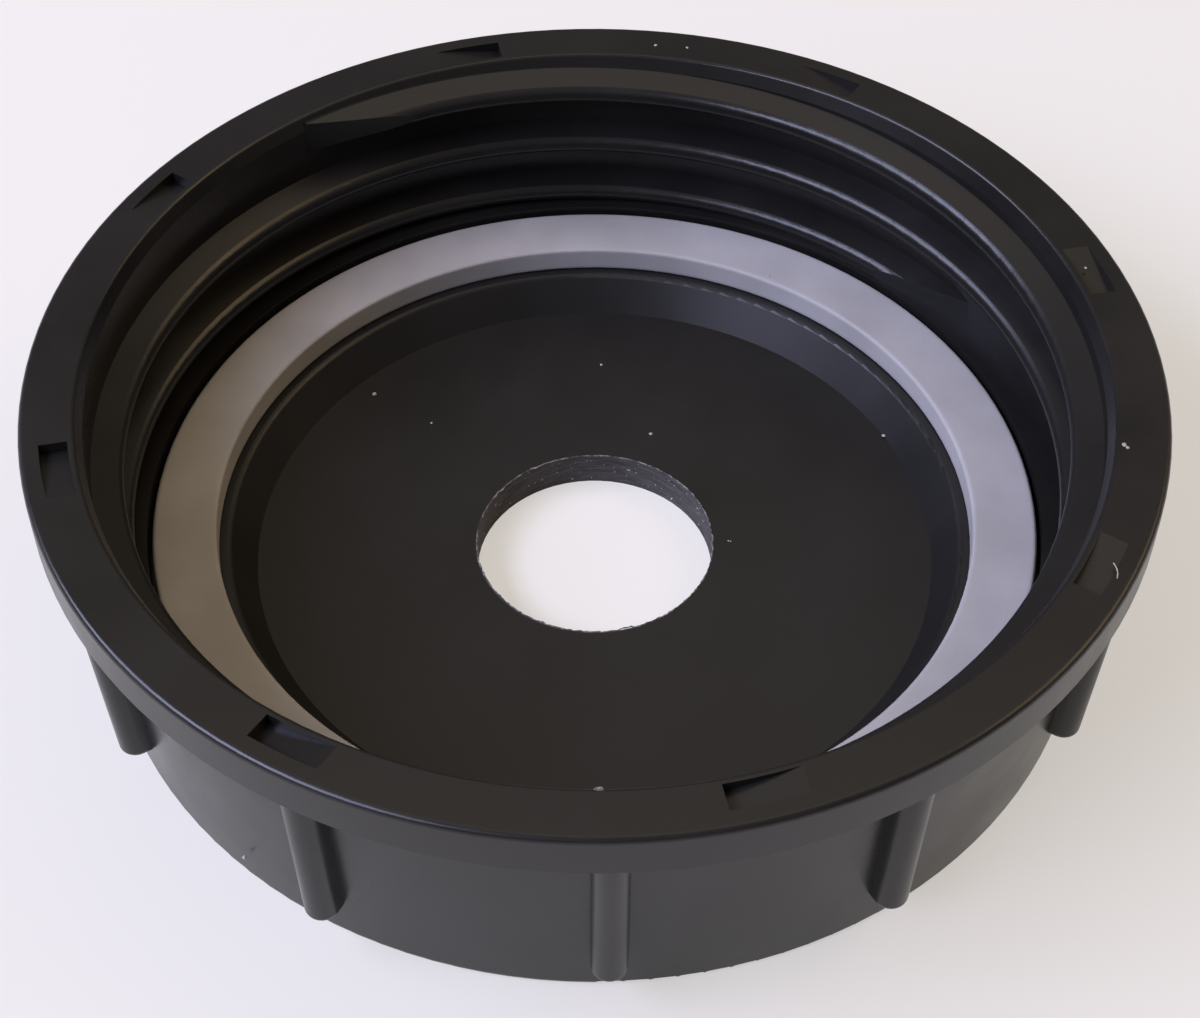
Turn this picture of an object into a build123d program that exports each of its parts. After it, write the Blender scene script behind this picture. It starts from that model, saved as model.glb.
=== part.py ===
from math import acos, degrees, radians, sin
import os

from build123d import *

# A moulded screw cap, bored through its closed end, with a flat ring seal inside it.
# It lies on its closed end with its thread open upward: the origin is the centre of
# the closed face and +Z runs out of the open end. All sizes are millimetres.

# thread, which sets the bore of the cap
thread_root_radius = 42.2
thread_depth = 2.5
thread_pitch = 6.0
thread_root_width = 3.2
thread_crest_width = 1.3
thread_crest_rounding = 0.85
thread_top_drop = 2.1  # from the rim down to the middle of the ridge's upper end
thread_start_angle = 128.0  # azimuth of the ridge's upper end
thread_overlap = 0.9  # how far the ridge's root is sunk into the wall
runout_inset = 0.3  # the flat face that ends the ridge passes this far inside its crest
runout_margin = 0.1  # how far that face goes on past the end of the ridge

# skirt and collar
skirt_wall = 2.3
skirt_draft_inset = 1.1  # how much narrower the skirt is at the closed end
foot_rounding = 0.6
collar_overhang = 2.7
collar_height = 3.9
collar_edge_rounding = 0.5
mouth_flare = 0.55  # the rim's inner edge stands this far outside the thread's root
mouth_flare_height = 1.3
mouth_edge_rounding = 0.35
threaded_length = 15.7  # from the ledge above the seal up to the rim

# ring seal and the pocket that holds it
seal_thickness = 2.4
seal_width = 5.5
seal_side_clearance = 0.4
seal_edge_chamfer = 0.15
pocket_step = 0.7  # the pocket's wall stands this far inside the thread's crest
pocket_lip = 0.5  # the pocket's wall rises this far above the seal

# closed end
floor_thickness = 3.4
well_depth = 3.2  # from the shelf under the seal down to the floor
shelf_lip = 0.9  # the shelf shows this far inside the seal
shelf_edge_rounding = 0.6
well_draft_inset = 2.1
bore_radius = 10.6

# grip ribs
rib_count = 12
rib_half_width = 1.45
rib_top_inset = 0.45  # from the collar's outside in to the rib's outside
rib_foot_inset = 1.45
rib_root_sink = 1.5  # how far the rib's root is sunk into the skirt
rib_foot_height = 3.9
rib_tip_rounding = 0.7

# wedge recesses in the rim
notch_count = 8
notch_start_angle = 10.4  # azimuth of the first steep end
notch_length = 6.0
notch_depth = 1.0
notch_width = 2.3
notch_rim_margin = 0.5  # rim left between the mouth and the recess

# radii and heights that follow from the sizes above
crest_radius = thread_root_radius - thread_depth
mouth_radius = thread_root_radius + mouth_flare
skirt_top_radius = thread_root_radius + skirt_wall
skirt_foot_radius = skirt_top_radius - skirt_draft_inset
collar_radius = skirt_top_radius + collar_overhang
pocket_radius = crest_radius - pocket_step
seal_outer_radius = pocket_radius - seal_side_clearance
seal_inner_radius = seal_outer_radius - seal_width
shelf_radius = seal_inner_radius - shelf_lip
well_radius = shelf_radius - well_draft_inset
shelf_height = floor_thickness + well_depth
seal_top = shelf_height + seal_thickness
ledge_height = seal_top + pocket_lip
cap_height = ledge_height + threaded_length
collar_foot = cap_height - collar_height
thread_rise = cap_height - thread_top_drop - ledge_height
thread_sweep = 360 * thread_rise / thread_pitch
thread_foot_angle = thread_start_angle - thread_sweep
# an upright flat face cuts across each end of the ridge and runs it out into the wall
runout_distance = crest_radius - runout_inset
thread_runout = degrees(acos(runout_distance / thread_root_radius))
runout_length = thread_root_radius * sin(radians(thread_runout)) + runout_margin
runout_height = thread_root_width + thread_pitch * thread_runout / 360 + 2 * runout_margin
ridge_top = ledge_height + thread_rise + thread_root_width / 2 + runout_margin

# helical ridge of the thread
with BuildPart() as thread_ridge:
    with BuildLine(Plane.XY.offset(ledge_height)) as thread_path:
        Helix(pitch=thread_pitch, height=thread_rise, radius=thread_root_radius)
    ridge_start = thread_path.line @ 0
    ridge_plane = Plane(ridge_start, x_dir=(1, 0, 0), z_dir=thread_path.line % 0)
    with BuildSketch(ridge_plane) as ridge_section:
        with BuildLine():
            Polyline(
                (thread_overlap, -thread_root_width / 2),
                (0, -thread_root_width / 2),
                (-thread_depth, -thread_crest_width / 2),
                (-thread_depth, thread_crest_width / 2),
                (0, thread_root_width / 2),
                (thread_overlap, thread_root_width / 2),
                close=True,
            )
        make_face()
        fillet(vertices().sort_by(Axis.X)[:2], thread_crest_rounding)
    sweep(path=thread_path.wires()[0], is_frenet=True)

# tapering wedges, steep at one end, that are cut into the rim's top face
notch_inner_radius = mouth_radius + notch_rim_margin
with BuildPart() as rim_notches:
    for step in range(notch_count):
        steep_angle = notch_start_angle + 360 * step / notch_count
        outward = Vector(1, 0, 0).rotate(Axis.Z, steep_angle)
        along = Vector(0, 1, 0).rotate(Axis.Z, steep_angle)
        with BuildSketch(Plane((0, 0, cap_height), x_dir=along, z_dir=outward)):
            with BuildLine():
                Polyline(
                    (0, notch_depth),
                    (0, -notch_depth),
                    (2 * notch_length, notch_depth),
                    close=True,
                )
            make_face()
        extrude(amount=collar_radius)
    with BuildSketch(Plane.XY.offset(cap_height - 2 * notch_depth)):
        Circle(notch_inner_radius + notch_width)
        Circle(notch_inner_radius, mode=Mode.SUBTRACT)
    extrude(amount=4 * notch_depth, mode=Mode.INTERSECT)

# half-round grip rib that leans in a little towards the closed end
rib_foot_skirt = skirt_foot_radius + skirt_draft_inset * rib_foot_height / collar_foot
with BuildPart() as grip_rib:
    for height, skirt_radius, inset in (
        (rib_foot_height, rib_foot_skirt, rib_foot_inset),
        (collar_foot + collar_height / 2, skirt_top_radius, rib_top_inset),
    ):
        crown = collar_radius - inset - rib_half_width
        root = skirt_radius - rib_root_sink
        with BuildSketch(Plane.XY.offset(height)):
            with Locations((crown, 0)):
                Circle(rib_half_width)
                Rectangle(crown - root, 2 * rib_half_width, align=(Align.MAX, Align.CENTER))
    loft()
    tip_edge = faces().sort_by(Axis.Z)[0].edges().sort_by(Axis.X)[-1]
    fillet(tip_edge, rib_tip_rounding)

with BuildPart() as cap_body:
    with BuildSketch(Plane.XZ) as wall_section:
        with BuildLine():
            Polyline(
                (bore_radius, 0),
                (skirt_foot_radius, 0),
                (skirt_top_radius, collar_foot),
                (collar_radius, collar_foot),
                (collar_radius, cap_height),
                (mouth_radius, cap_height),
                (thread_root_radius, cap_height - mouth_flare_height),
                (thread_root_radius, ledge_height),
                (pocket_radius, ledge_height),
                (pocket_radius, shelf_height),
                (shelf_radius, shelf_height),
                (well_radius, floor_thickness),
                (bore_radius, floor_thickness),
                close=True,
            )
        make_face()
        for corner, rounding in (
            ((skirt_foot_radius, 0), foot_rounding),
            ((collar_radius, cap_height), collar_edge_rounding),
            ((mouth_radius, cap_height), mouth_edge_rounding),
            ((shelf_radius, shelf_height), shelf_edge_rounding),
        ):
            fillet(vertices().sort_by_distance(corner)[0], rounding)
    revolve(axis=Axis.Z)

    with PolarLocations(0, rib_count):
        add(grip_rib.part)

    add(thread_ridge.part.rotate(Axis.Z, thread_foot_angle))
    for face_angle, cut_foot, side in (
        (thread_foot_angle + thread_runout, ledge_height, Align.MAX),
        (thread_start_angle - thread_runout, ridge_top - runout_height, Align.MIN),
    ):
        with BuildSketch(Plane.XY.offset(cut_foot).rotated((0, 0, face_angle))):
            with Locations((runout_distance, 0)):
                Rectangle(2 * thread_depth, runout_length, align=(Align.MAX, side))
        extrude(amount=runout_height, mode=Mode.SUBTRACT)

    add(rim_notches.part, mode=Mode.SUBTRACT)

with BuildPart() as seal_ring:
    with BuildSketch(Plane.XZ):
        with Locations((seal_inner_radius, shelf_height)):
            Rectangle(seal_width, seal_thickness, align=(Align.MIN, Align.MIN))
        chamfer(vertices(), seal_edge_chamfer)
    revolve(axis=Axis.Z)

cap_body.part.label = "cap_body"
seal_ring.part.label = "seal_ring"
os.makedirs("parts", exist_ok=True)
export_step(cap_body.part, "parts/cap_body.step")
export_step(seal_ring.part, "parts/seal_ring.step")
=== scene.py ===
import math

import bmesh
import bpy
from mathutils import Matrix, Vector, noise


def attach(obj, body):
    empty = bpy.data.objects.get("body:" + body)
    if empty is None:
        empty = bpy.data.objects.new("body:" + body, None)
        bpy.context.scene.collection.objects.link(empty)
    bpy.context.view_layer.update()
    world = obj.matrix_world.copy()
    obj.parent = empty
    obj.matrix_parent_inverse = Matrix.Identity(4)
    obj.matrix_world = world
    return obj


# A black moulded screw cap that lies on its closed end, with a grey ring seal inside it
# and a hole drilled through the middle. The values are in millimetres unless they say
# metres, and finishPiece scales each added piece to metres.

metresPerMillimetre = 0.001

capSizes = {
    "floorHeight": 3.4,
    "boreRadius": 10.6,
}


def linearColour(code):
    values = [int(code[i : i + 2], 16) / 255 for i in (1, 3, 5)]
    return (*[v / 12.92 if v <= 0.04045 else ((v + 0.055) / 1.055) ** 2.4 for v in values], 1.0)


def addNode(tree, kind, settings=None, inputs=None):
    node = tree.nodes.new(kind)
    for name, value in (settings or {}).items():
        setattr(node, name, value)
    for name, value in (inputs or {}).items():
        if isinstance(value, bpy.types.NodeSocket):
            tree.links.new(value, node.inputs[name])
        else:
            node.inputs[name].default_value = value
    return node


def perMetre(millimetres):
    # a noise scale that gives features of this size
    return 1.0 / (millimetres * metresPerMillimetre)


def addObject(name, data):
    item = bpy.data.objects.new(name, data)
    bpy.context.scene.collection.objects.link(item)
    return item


def meshObject(name, mesh, material):
    data = bpy.data.meshes.new(name)
    mesh.to_mesh(data)
    mesh.free()
    data.materials.append(material)
    return addObject(name, data)


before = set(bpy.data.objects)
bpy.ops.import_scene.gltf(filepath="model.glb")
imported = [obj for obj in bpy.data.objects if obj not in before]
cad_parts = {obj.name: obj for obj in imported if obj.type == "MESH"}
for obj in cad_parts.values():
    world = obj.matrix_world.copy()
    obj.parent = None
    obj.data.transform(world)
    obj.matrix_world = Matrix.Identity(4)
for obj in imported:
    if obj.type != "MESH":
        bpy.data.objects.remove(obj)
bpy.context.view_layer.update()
print("frame loaded:", ", ".join(sorted(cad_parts)))


# materials

plasticLook = {
    "pigment": "#191817",
    "dustFilm": "#2e2c29",
    "filmShare": 0.16,
    "roughness": 0.29,
    "sheen": 0.43,
    "ior": 1.49,
    "grainSize": 0.35,  # the fine spark texture that the mould leaves
    "grainDepth": 0.05,
    "flowSize": 14.0,
    "coreRadius": 32.4,
    "coreGrain": 0.1,  # how much duller the well is, inside the core's radius
}

drilledLook = {
    "torn": "#5c5955",
    "speck": "#c9c5bd",
    "fullDepth": 0.02,  # from here to fadeDepth beyond the bore's radius the drilled look ends
    "fadeDepth": 0.12,
    "tearSize": 2.2,
    "tearDepth": 0.12,
    "tearStretch": 14.0,  # the tears run round the hole, so they are finer along it
    "speckSize": 0.3,
    "addedRoughness": 0.45,
}


def newMaterial(name):
    material = bpy.data.materials.new(name)
    material.use_nodes = True
    material.node_tree.nodes.clear()
    return material, material.node_tree


def drilledWall(tree, place, radius, body):
    # paler torn plastic and specks of swarf on the wall of the drilled hole
    look = drilledLook
    edge = capSizes["boreRadius"]
    onWall = addNode(
        tree, "ShaderNodeMapRange", {"interpolation_type": "SMOOTHSTEP"},
        {
            "Value": radius, "To Min": 0.0, "To Max": 1.0,
            "From Min": (edge + look["fadeDepth"]) * metresPerMillimetre,
            "From Max": (edge + look["fullDepth"]) * metresPerMillimetre,
        },
    ).outputs["Result"]
    stretched = addNode(
        tree, "ShaderNodeMapping", None, {"Vector": place, "Scale": (1.0, 1.0, look["tearStretch"])}
    )
    tearing = addNode(
        tree, "ShaderNodeTexNoise", None,
        {
            "Vector": stretched.outputs["Vector"], "Scale": perMetre(look["tearSize"]),
            "Detail": 6.0, "Roughness": 0.75,
        },
    ).outputs["Fac"]
    torn = addNode(
        tree, "ShaderNodeMapRange", None,
        {"Value": tearing, "From Min": 0.42, "From Max": 0.62, "To Min": 0.25, "To Max": 0.8},
    )
    tornShare = addNode(
        tree, "ShaderNodeMath", {"operation": "MULTIPLY"}, {0: torn.outputs["Result"], 1: onWall}
    )
    tornBody = addNode(
        tree, "ShaderNodeMix", {"data_type": "RGBA"},
        {0: tornShare.outputs["Value"], 6: body, 7: linearColour(look["torn"])},
    )
    swarf = addNode(
        tree, "ShaderNodeTexNoise", None,
        {"Vector": place, "Scale": perMetre(look["speckSize"]), "Detail": 1.0},
    )
    specks = addNode(
        tree, "ShaderNodeMapRange", None,
        {"Value": swarf.outputs["Fac"], "From Min": 0.7, "From Max": 0.78},
    )
    speckShare = addNode(
        tree, "ShaderNodeMath", {"operation": "MULTIPLY"}, {0: specks.outputs["Result"], 1: onWall}
    )
    colour = addNode(
        tree, "ShaderNodeMix", {"data_type": "RGBA"},
        {0: speckShare.outputs["Value"], 6: tornBody.outputs[2], 7: linearColour(look["speck"])},
    )
    height = addNode(tree, "ShaderNodeMath", {"operation": "MULTIPLY"}, {0: tearing, 1: onWall})
    return onWall, colour.outputs[2], height.outputs["Value"]


def mouldedPolypropylene():
    # polypropylene with carbon black, injection moulded: a soft satin sheen over near-black,
    # a little uneven where the melt flowed, with a film of dust
    look = plasticLook
    material, tree = newMaterial("mouldedPolypropylene")
    place = addNode(tree, "ShaderNodeTexCoord").outputs["Object"]
    flow = addNode(
        tree, "ShaderNodeTexNoise", None,
        {"Vector": place, "Scale": perMetre(look["flowSize"]), "Detail": 3.0, "Roughness": 0.6},
    )
    grain = addNode(
        tree, "ShaderNodeTexNoise", None,
        {"Vector": place, "Scale": perMetre(look["grainSize"]), "Detail": 2.0},
    )
    film = addNode(
        tree, "ShaderNodeMapRange", None,
        {
            "Value": flow.outputs["Fac"], "From Min": 0.35, "From Max": 0.75,
            "To Min": 0.0, "To Max": look["filmShare"],
        },
    )
    body = addNode(
        tree, "ShaderNodeMix", {"data_type": "RGBA"},
        {0: film.outputs["Result"], 6: linearColour(look["pigment"]), 7: linearColour(look["dustFilm"])},
    )
    flat = addNode(
        tree, "ShaderNodeVectorMath", {"operation": "MULTIPLY"}, {0: place, 1: (1.0, 1.0, 0.0)}
    )
    radius = addNode(
        tree, "ShaderNodeVectorMath", {"operation": "LENGTH"}, {0: flat.outputs["Vector"]}
    ).outputs["Value"]
    onWall, colour, tornHeight = drilledWall(tree, place, radius, body.outputs[2])
    gloss = addNode(
        tree, "ShaderNodeMapRange", None,
        {
            "Value": flow.outputs["Fac"], "From Min": 0.3, "From Max": 0.7,
            "To Min": look["roughness"] - 0.06, "To Max": look["roughness"] + 0.08,
        },
    )
    rougher = addNode(
        tree, "ShaderNodeMath", {"operation": "MULTIPLY_ADD", "use_clamp": True},
        {0: onWall, 1: drilledLook["addedRoughness"], 2: gloss.outputs["Result"]},
    )
    core = addNode(
        tree, "ShaderNodeMath", {"operation": "LESS_THAN"},
        {0: radius, 1: look["coreRadius"] * metresPerMillimetre},
    )
    dulled = addNode(
        tree, "ShaderNodeMath", {"operation": "MULTIPLY_ADD", "use_clamp": True},
        {0: core.outputs["Value"], 1: look["coreGrain"], 2: rougher.outputs["Value"]},
    )
    grainBump = addNode(
        tree, "ShaderNodeBump", None,
        {
            "Strength": 0.12, "Distance": look["grainDepth"] * metresPerMillimetre,
            "Height": grain.outputs["Fac"],
        },
    )
    bump = addNode(
        tree, "ShaderNodeBump", None,
        {
            "Strength": 0.6, "Distance": drilledLook["tearDepth"] * metresPerMillimetre,
            "Height": tornHeight, "Normal": grainBump.outputs["Normal"],
        },
    )
    shader = addNode(
        tree, "ShaderNodeBsdfPrincipled", None,
        {
            "Base Color": colour, "Roughness": dulled.outputs["Value"], "IOR": look["ior"],
            "Specular IOR Level": look["sheen"], "Normal": bump.outputs["Normal"],
        },
    )
    addNode(tree, "ShaderNodeOutputMaterial", None, {"Surface": shader.outputs["BSDF"]})
    return material


sealLook = {
    "rubber": "#a29f9c",
    "bloom": "#adaaa7",
    "roughness": 0.62,
    "ior": 1.5,
    "grainSize": 0.25,
    "grainDepth": 0.06,
    "cloudSize": 9.0,
    "edgeSoftness": 0.5,
}


def greySiliconeRubber():
    # silicone sheet rubber, die cut: an even matt grey with a faint cloudy bloom, rounded edges
    # and a fine grain that spreads the highlights
    look = sealLook
    material, tree = newMaterial("greySiliconeRubber")
    place = addNode(tree, "ShaderNodeTexCoord").outputs["Object"]
    cloud = addNode(
        tree, "ShaderNodeTexNoise", None,
        {"Vector": place, "Scale": perMetre(look["cloudSize"]), "Detail": 4.0},
    )
    grain = addNode(
        tree, "ShaderNodeTexNoise", None,
        {"Vector": place, "Scale": perMetre(look["grainSize"]), "Detail": 2.0},
    )
    share = addNode(
        tree, "ShaderNodeMapRange", None,
        {"Value": cloud.outputs["Fac"], "From Min": 0.35, "From Max": 0.65},
    )
    colour = addNode(
        tree, "ShaderNodeMix", {"data_type": "RGBA"},
        {0: share.outputs["Result"], 6: linearColour(look["rubber"]), 7: linearColour(look["bloom"])},
    )
    gloss = addNode(
        tree, "ShaderNodeMapRange", None,
        {
            "Value": cloud.outputs["Fac"], "From Min": 0.3, "From Max": 0.7,
            "To Min": look["roughness"] - 0.05, "To Max": look["roughness"] + 0.08,
        },
    )
    softEdges = addNode(
        tree, "ShaderNodeBevel", {"samples": 6}, {"Radius": look["edgeSoftness"] * metresPerMillimetre}
    )
    bump = addNode(
        tree, "ShaderNodeBump", None,
        {
            "Strength": 0.2, "Distance": look["grainDepth"] * metresPerMillimetre,
            "Height": grain.outputs["Fac"], "Normal": softEdges.outputs["Normal"],
        },
    )
    shader = addNode(
        tree, "ShaderNodeBsdfPrincipled", None,
        {
            "Base Color": colour.outputs[2], "Roughness": gloss.outputs["Result"],
            "IOR": look["ior"], "Normal": bump.outputs["Normal"],
        },
    )
    addNode(tree, "ShaderNodeOutputMaterial", None, {"Surface": shader.outputs["BSDF"]})
    return material


# torn plastic colours; the whitened one also paints the highlights on the mouth's edge
tornAndHighlightLook = {
    "dark": "#2f2c2a",
    "whitenedAndHighlight": "#958f87",
    "patchSize": 0.9,
    "patchDepth": 0.1,
}


def tornPlasticAndHighlight():
    # the same plastic where the drill tore it: stress-whitened shreds, rough and dull. Its pale colour is
    # also the painted highlight of the bead and strand on the mouth's edge
    look = tornAndHighlightLook
    material, tree = newMaterial("tornPolypropyleneAndHighlight")
    place = addNode(tree, "ShaderNodeTexCoord").outputs["Object"]
    patch = addNode(
        tree, "ShaderNodeTexNoise", None,
        {"Vector": place, "Scale": perMetre(look["patchSize"]), "Detail": 4.0, "Roughness": 0.7},
    )
    share = addNode(
        tree, "ShaderNodeMapRange", None,
        {"Value": patch.outputs["Fac"], "From Min": 0.42, "From Max": 0.62},
    )
    colour = addNode(
        tree, "ShaderNodeMix", {"data_type": "RGBA"},
        {0: share.outputs["Result"], 6: linearColour(look["dark"]), 7: linearColour(look["whitenedAndHighlight"])},
    )
    gloss = addNode(
        tree, "ShaderNodeMapRange", None,
        {"Value": patch.outputs["Fac"], "To Min": 0.45, "To Max": 0.8},
    )
    bump = addNode(
        tree, "ShaderNodeBump", None,
        {
            "Strength": 0.6, "Distance": look["patchDepth"] * metresPerMillimetre,
            "Height": patch.outputs["Fac"],
        },
    )
    shader = addNode(
        tree, "ShaderNodeBsdfPrincipled", None,
        {
            "Base Color": colour.outputs[2], "Roughness": gloss.outputs["Result"],
            "IOR": plasticLook["ior"], "Normal": bump.outputs["Normal"],
        },
    )
    addNode(tree, "ShaderNodeOutputMaterial", None, {"Surface": shader.outputs["BSDF"]})
    return material


lintLook = {
    "shade": "#8f8b81",
    "pale": "#bdb9b0",
    "patchSize": 0.2,
    "patchDepth": 0.05,
}


def cottonLint():
    # household lint and pale swarf: dull, off-white, a little uneven
    look = lintLook
    material, tree = newMaterial("cottonLint")
    place = addNode(tree, "ShaderNodeTexCoord").outputs["Object"]
    patch = addNode(
        tree, "ShaderNodeTexNoise", None, {"Vector": place, "Scale": perMetre(look["patchSize"])}
    )
    colour = addNode(
        tree, "ShaderNodeMix", {"data_type": "RGBA"},
        {0: patch.outputs["Fac"], 6: linearColour(look["shade"]), 7: linearColour(look["pale"])},
    )
    bump = addNode(
        tree, "ShaderNodeBump", None,
        {
            "Strength": 0.5, "Distance": look["patchDepth"] * metresPerMillimetre,
            "Height": patch.outputs["Fac"],
        },
    )
    gloss = addNode(
        tree, "ShaderNodeMapRange", None, {"Value": patch.outputs["Fac"], "To Min": 0.7, "To Max": 0.95}
    )
    shader = addNode(
        tree, "ShaderNodeBsdfPrincipled", None,
        {
            "Base Color": colour.outputs[2], "Roughness": gloss.outputs["Result"],
            "Normal": bump.outputs["Normal"],
        },
    )
    addNode(tree, "ShaderNodeOutputMaterial", None, {"Surface": shader.outputs["BSDF"]})
    return material


blackPlastic = mouldedPolypropylene()
paleLint = cottonLint()
# pale torn plastic for the burr, and painted highlight for the bead and strand on the mouth's edge
whitenedPlasticAndHighlight = tornPlasticAndHighlight()
greyRubber = greySiliconeRubber()


def dress(node, material):
    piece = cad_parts[node]
    if piece.material_slots:
        for slot in piece.material_slots:
            slot.material = material
    else:
        piece.data.materials.append(material)


dress("cap_body", blackPlastic)
dress("seal_ring", greyRubber)
print("cap and seal dressed")


# added pieces


def finishPiece(name, mesh, material):
    bmesh.ops.scale(mesh, vec=(metresPerMillimetre,) * 3, verts=mesh.verts)
    piece = meshObject(name, mesh, material)
    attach(piece, "root")


burr = {
    "segments": 640,
    "width": 0.13,
    "height": 0.2,
    "raggedness": 0.09,
    "tearSize": 0.33,
    "toothSize": 1.1,
    "toothLength": 0.3,
    "toothLevel": 0.25,  # only noise above this level makes a tooth
    "lift": 0.1,  # makes the lip's lower half rise and fall too, though less
    "sides": 6,
    "weldDistance": 0.0005,
}


def drilledBurr():
    # a ragged lip round the top edge of the drilled hole, with a torn tooth here and there
    mesh = bmesh.new()
    ring = bmesh.ops.create_circle(mesh, segments=burr["sides"], radius=burr["width"] / 2)
    bmesh.ops.rotate(mesh, verts=ring["verts"], matrix=Matrix.Rotation(math.pi / 2, 3, "X"))
    onEdge = (capSizes["boreRadius"], 0.0, capSizes["floorHeight"])
    bmesh.ops.translate(mesh, verts=ring["verts"], vec=onEdge)
    bmesh.ops.spin(
        mesh, geom=mesh.edges[:], axis=(0, 0, 1), cent=(0, 0, 0), angle=2 * math.pi,
        steps=burr["segments"], use_merge=True,
    )
    bmesh.ops.remove_doubles(mesh, verts=mesh.verts, dist=burr["weldDistance"])
    for vert in mesh.verts:
        outward = Vector((vert.co.x, vert.co.y, 0.0)).normalized()
        tear = noise.noise(vert.co / burr["tearSize"])
        toothNoise = noise.noise(outward * capSizes["boreRadius"] / burr["toothSize"])
        tooth = max(0.0, toothNoise - burr["toothLevel"])
        vert.co -= outward * (burr["raggedness"] * tear + burr["toothLength"] * tooth)
        vert.co.z += burr["height"] * tear * (vert.co.z - capSizes["floorHeight"] + burr["lift"])
    bmesh.ops.recalc_face_normals(mesh, faces=mesh.faces)
    for face in mesh.faces:
        face.smooth = False
    finishPiece("drilledBurr", mesh, whitenedPlasticAndHighlight)


nib = {
    "place": (-0.8, -42.75, 25.08),
    "size": (0.42, 0.26, 0.16),
    "unevenness": 0.25,
    "lumps": 3.0,
}


def rimNibAndHighlight():
    # a bead of plastic that the mould left on the mouth's edge; its pale colour is a painted highlight
    mesh = bmesh.new()
    bmesh.ops.create_icosphere(mesh, subdivisions=3, radius=1.0)
    bmesh.ops.scale(mesh, vec=nib["size"], verts=mesh.verts)
    for vert in mesh.verts:
        vert.co *= 1.0 + nib["unevenness"] * noise.noise(vert.co * nib["lumps"])
    bmesh.ops.translate(mesh, vec=nib["place"], verts=mesh.verts)
    for face in mesh.faces:
        face.smooth = True
    finishPiece("rimNibAndHighlight", mesh, whitenedPlasticAndHighlight)


dust = {
    "thickness": 0.45,  # a grain's height as a share of its width
    "unevenness": 0.5,
    "lumps": 6.0,
    "grains": (  # place, then radius
        ((-20.5, 19.2, 3.42), 0.2),
        ((1.2, 22.7, 3.42), 0.14),
        ((5.6, 13.3, 3.42), 0.16),
        ((12.0, -0.3, 3.42), 0.08),
        ((12.2, -0.36, 3.42), 0.06),
        ((-15.0, 15.2, 3.42), 0.1),
        ((27.4, 12.4, 3.6), 0.18),
        ((29.9, 8.3, 4.4), 0.13),
        ((42.2, -10.1, 25.2), 0.2),
        ((42.4, -10.4, 25.2), 0.16),
        ((42.7, 11.2, 25.2), 0.12),
        ((6.9, 44.1, 25.2), 0.16),
        ((9.9, 43.6, 25.2), 0.13),
        ((17.6, 28.9, 9.0), 0.13),
        ((-28.7, -33.4, 3.8), 0.18),
    ),
}


def dustGrains():
    # lint and swarf that lie on the plastic
    mesh = bmesh.new()
    for place, radius in dust["grains"]:
        grain = bmesh.ops.create_icosphere(mesh, subdivisions=2, radius=radius)
        bmesh.ops.scale(mesh, vec=(1.0, 1.0, dust["thickness"]), verts=grain["verts"])
        for vert in grain["verts"]:
            lump = noise.noise(vert.co * dust["lumps"] + Vector(place))
            vert.co *= 1.0 + dust["unevenness"] * lump
        bmesh.ops.translate(mesh, vec=place, verts=grain["verts"])
    for face in mesh.faces:
        face.smooth = True
    finishPiece("dustGrains", mesh, paleLint)


strandSides = 8


def bentStrand(strand):
    # a fine round strand, bent about an upright line through its middle
    mesh = bmesh.new()
    ring = bmesh.ops.create_circle(mesh, segments=strandSides, radius=strand["strandRadius"])
    bmesh.ops.rotate(mesh, verts=ring["verts"], matrix=Matrix.Rotation(math.pi / 2, 3, "X"))
    bmesh.ops.translate(mesh, verts=ring["verts"], vec=(strand["bendRadius"], 0.0, 0.0))
    bmesh.ops.rotate(
        mesh, verts=ring["verts"], matrix=Matrix.Rotation(math.radians(strand["startAngle"]), 3, "Z")
    )
    bmesh.ops.contextual_create(mesh, geom=mesh.edges[:])
    bmesh.ops.spin(
        mesh, geom=mesh.faces[:], axis=(0, 0, 1), cent=(0, 0, 0),
        angle=math.radians(strand["sweep"]), steps=strand["steps"],
    )
    bmesh.ops.translate(mesh, vec=strand["middle"], verts=mesh.verts)
    bmesh.ops.recalc_face_normals(mesh, faces=mesh.faces)
    for face in mesh.faces:
        face.smooth = True
    return mesh


# the pale strand that paints the highlight along the front of the mouth's edge
edgeHighlight = {
    "middle": (0.0, 0.0, 25.1),
    "bendRadius": 42.86,
    "strandRadius": 0.05,
    "startAngle": 257.0,
    "sweep": 27.0,
    "steps": 60,
}


def mouthHighlightStrand():
    # a thin pale strand along the front of the mouth's edge: a painted highlight of the rounded edge
    finishPiece("mouthHighlightStrand", bentStrand(edgeHighlight), whitenedPlasticAndHighlight)


lint = {
    "middle": (37.3, -23.4, 25.21),  # the middle of the fibre's bend
    "bendRadius": 1.9,
    "strandRadius": 0.05,
    "startAngle": -24.0,
    "sweep": 48.0,
    "steps": 16,
}


def lintFibre():
    # a short curved fibre on the rim
    finishPiece("lintFibre", bentStrand(lint), paleLint)


drilledBurr()
rimNibAndHighlight()
mouthHighlightStrand()
dustGrains()
lintFibre()
print("burr, nib and dust made")


# floor, lights and camera

paper = {
    "colour": "#dedad5",
    "glow": 0.5,  # the share of the paper's look that its shadows leave alone
    "glowColour": "#fdfaf6",
    "fibreSize": 1.2,
    "fibreDepth": 0.1,
    "radius": 4.0,  # metres
}


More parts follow.
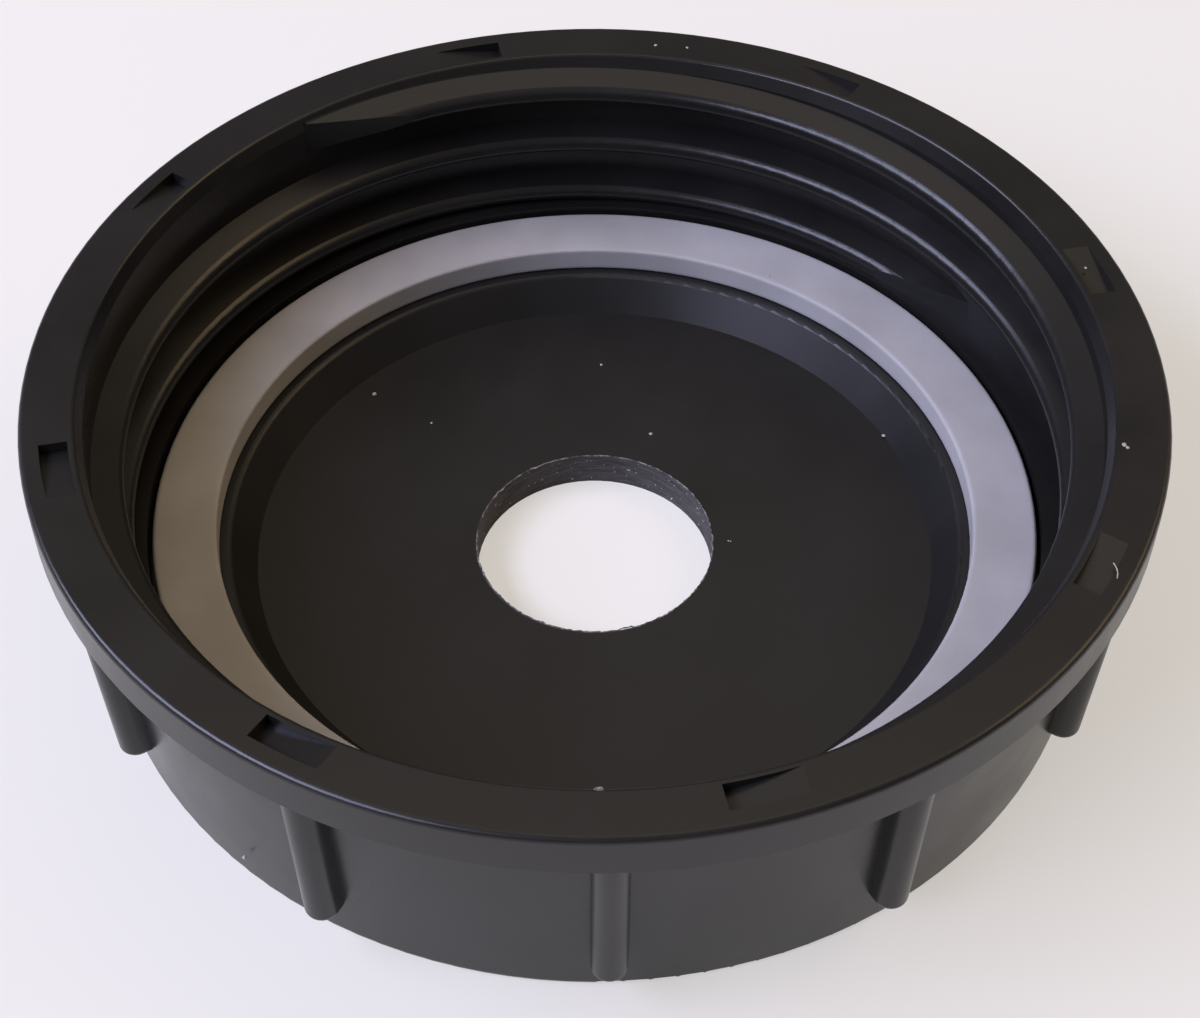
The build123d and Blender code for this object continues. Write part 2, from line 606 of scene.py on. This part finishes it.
def paperFloor():
    material, tree = newMaterial("matteWhitePaper")
    place = addNode(tree, "ShaderNodeTexCoord").outputs["Object"]
    fibre = addNode(
        tree, "ShaderNodeTexNoise", None,
        {"Vector": place, "Scale": perMetre(paper["fibreSize"]), "Detail": 4.0},
    )
    bump = addNode(
        tree, "ShaderNodeBump", None,
        {
            "Strength": 0.05, "Distance": paper["fibreDepth"] * metresPerMillimetre,
            "Height": fibre.outputs["Fac"],
        },
    )
    shader = addNode(
        tree, "ShaderNodeBsdfPrincipled", None,
        {"Base Color": linearColour(paper["colour"]), "Roughness": 0.9, "Normal": bump.outputs["Normal"]},
    )
    rays = addNode(tree, "ShaderNodeLightPath")
    seen = addNode(
        tree, "ShaderNodeMath", {"operation": "MAXIMUM"},
        {0: rays.outputs["Is Camera Ray"], 1: rays.outputs["Is Glossy Ray"]},
    )
    seenThrough = addNode(
        tree, "ShaderNodeMath", {"operation": "MAXIMUM"},
        {0: seen.outputs["Value"], 1: rays.outputs["Is Transmission Ray"]},
    )
    share = addNode(
        tree, "ShaderNodeMath", {"operation": "MULTIPLY"},
        {0: seenThrough.outputs["Value"], 1: paper["glow"]},
    )
    glow = addNode(tree, "ShaderNodeEmission", None, {"Color": linearColour(paper["glowColour"])})
    surface = addNode(
        tree, "ShaderNodeMixShader", None,
        {0: share.outputs["Value"], 1: shader.outputs["BSDF"], 2: glow.outputs["Emission"]},
    )
    addNode(tree, "ShaderNodeOutputMaterial", None, {"Surface": surface.outputs["Shader"]})
    mesh = bmesh.new()
    bmesh.ops.create_circle(mesh, cap_ends=True, segments=96, radius=paper["radius"])
    floor = meshObject("paperFloor", mesh, material)


lamps = {  # places and sizes in metres
    "windowLight": {
        "place": (-0.74, -0.2, 0.72), "size": (1.2, 0.5), "power": 19.5, "colour": "#d3d8ff",
    },
    "roomLight": {
        "place": (0.85, 0.25, 0.85), "size": (0.7, 0.7), "power": 3.3, "colour": "#ffdcaa",
    },
    "ceilingLight": {
        "place": (0.0, 0.35, 1.2), "size": (0.9, 0.9), "power": 1.8, "colour": "#ffecd0",
    },
}

sky = {
    "strength": 0.2,
    "colour": "#fff4e6",
}


def areaLamp(name, settings):
    # a rectangular lamp that faces the middle of the closed end
    lamp = bpy.data.lights.new(name, "AREA")
    lamp.shape = "RECTANGLE"
    lamp.size, lamp.size_y = settings["size"]
    lamp.energy = settings["power"]
    lamp.color = linearColour(settings["colour"])[:3]
    holder = addObject(name, lamp)
    holder.location = settings["place"]
    holder.rotation_euler = (-Vector(settings["place"])).to_track_quat("-Z", "Y").to_euler()


def lightStudio():
    world = bpy.data.worlds.new("softRoom")
    world.use_nodes = True
    world.node_tree.nodes.clear()
    background = addNode(
        world.node_tree, "ShaderNodeBackground", None,
        {"Color": linearColour(sky["colour"]), "Strength": sky["strength"]},
    )
    addNode(world.node_tree, "ShaderNodeOutputWorld", None, {"Surface": background.outputs["Background"]})
    bpy.context.scene.world = world
    for name, settings in lamps.items():
        areaLamp(name, settings)


camera = {
    "place": (-3.8126, -136.4410, 156.4756),
    "aim": (0.4510, -0.0141, 7.6234),
    "roll": 0.36,
    "lens": 68.5,
    "sensor": 36.0,
}


def setCamera():
    data = bpy.data.cameras.new("camera")
    data.lens = camera["lens"]
    data.sensor_width = camera["sensor"]
    data.clip_start = 0.005
    data.clip_end = 20.0
    holder = addObject("camera", data)
    place = Vector(camera["place"]) * metresPerMillimetre
    aim = Vector(camera["aim"]) * metresPerMillimetre
    turn = (aim - place).to_track_quat("-Z", "Y").to_matrix() @ Matrix.Rotation(
        math.radians(camera["roll"]), 3, "Z"
    )
    holder.matrix_world = Matrix.Translation(place) @ turn.to_4x4()
    bpy.context.scene.camera = holder


paperFloor()
lightStudio()
setCamera()
bpy.context.scene.view_settings.view_transform = "Standard"
print("studio set")
